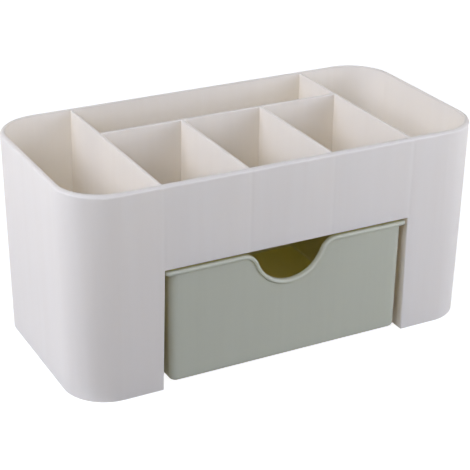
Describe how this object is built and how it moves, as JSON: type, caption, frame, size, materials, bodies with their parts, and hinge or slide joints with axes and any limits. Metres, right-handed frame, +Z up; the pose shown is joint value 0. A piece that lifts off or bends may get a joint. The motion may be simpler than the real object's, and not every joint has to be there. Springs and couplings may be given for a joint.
{
  "type": "makeup organizer with drawer",
  "caption": "Desktop makeup organizer with rounded corners: deep open pockets at its ends, shallow divided cells between them, and below those a sliding drawer with a finger scoop.",
  "frame": {"origin": "on the ground under the middle of the body", "axes": "+X along the body's length, +Y from the drawer's front to the back, +Z up"},
  "size_m": [0.22, 0.1114, 0.105],
  "materials": {
    "body_plastic": "warm white polypropylene, satin",
    "drawer_plastic": "sage green polypropylene, satin"
  },
  "bodies": {
    "body": {"body": "body_plastic"},
    "drawer": {"drawer": "drawer_plastic"}
  },
  "joints": [
    {"name": "drawer_slide", "type": "slide", "parent": "body", "child": "drawer", "axis": [0, -1, 0], "range_m": [0, 0.08]}
  ]
}
